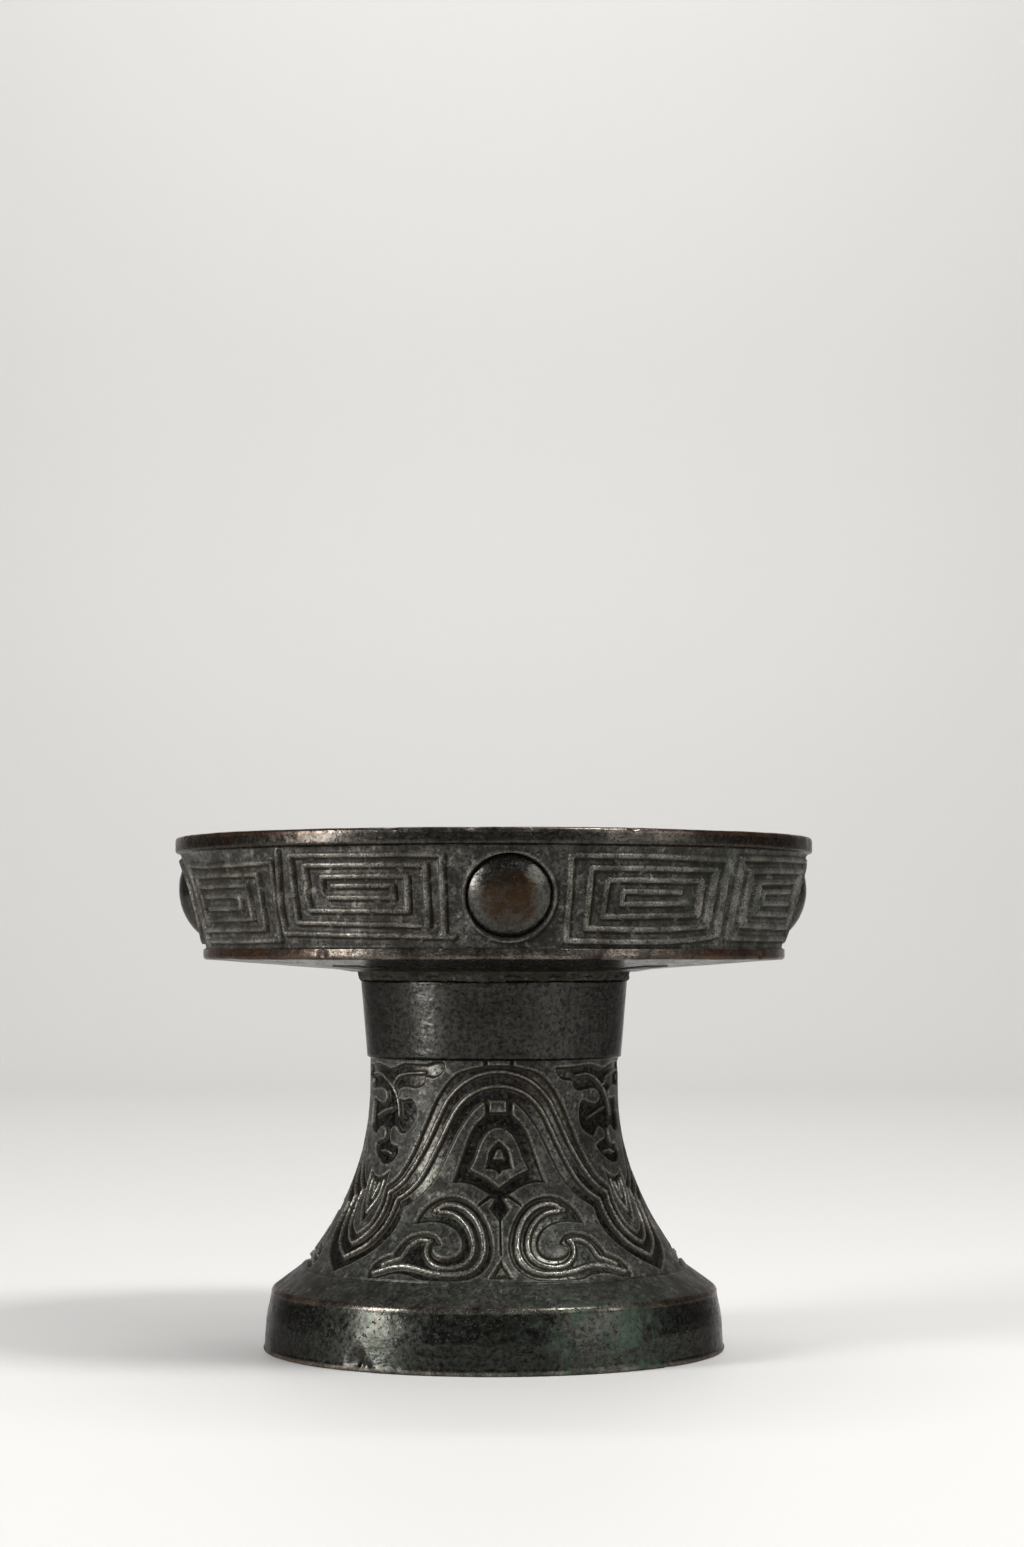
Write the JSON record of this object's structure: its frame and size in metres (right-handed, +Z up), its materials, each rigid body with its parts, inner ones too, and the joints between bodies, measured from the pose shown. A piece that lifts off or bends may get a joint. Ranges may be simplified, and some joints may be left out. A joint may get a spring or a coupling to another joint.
{
  "type": "ritual food vessel",
  "caption": "Shallow bronze offering dish with a canted, bossed wall on a hollow flaring pedestal, cast in two parts and joined at the stem.",
  "frame": {"origin": "centre of the foot's resting face", "axes": "+Z up along the vessel's axis, front of the vessel towards -Y"},
  "size_m": [0.1698, 0.1698, 0.136],
  "materials": {
    "dish_bronze": "dark olive brown patina, grey sheen on raised lines, reddish brown worn edges",
    "pedestal_bronze": "near black brown patina, pitted, green corrosion in places",
    "joint_metal": "rough olive brown crust",
    "boss_bronze": "handled reddish brown patina, darker at the edge",
    "spacer_bronze": "dull brown patina"
  },
  "bodies": {
    "root": {"dish": "dish_bronze", "pedestal": "pedestal_bronze", "joint_ring": "joint_metal", "boss_1": "boss_bronze", "boss_2": "boss_bronze", "boss_3": "boss_bronze", "boss_4": "boss_bronze", "floor_spacer_1": "spacer_bronze", "floor_spacer_2": "spacer_bronze", "floor_spacer_3": "spacer_bronze", "floor_spacer_4": "spacer_bronze", "stem_spacer_1": "spacer_bronze", "stem_spacer_2": "spacer_bronze", "stem_spacer_3": "spacer_bronze"}
  },
  "joints": []
}
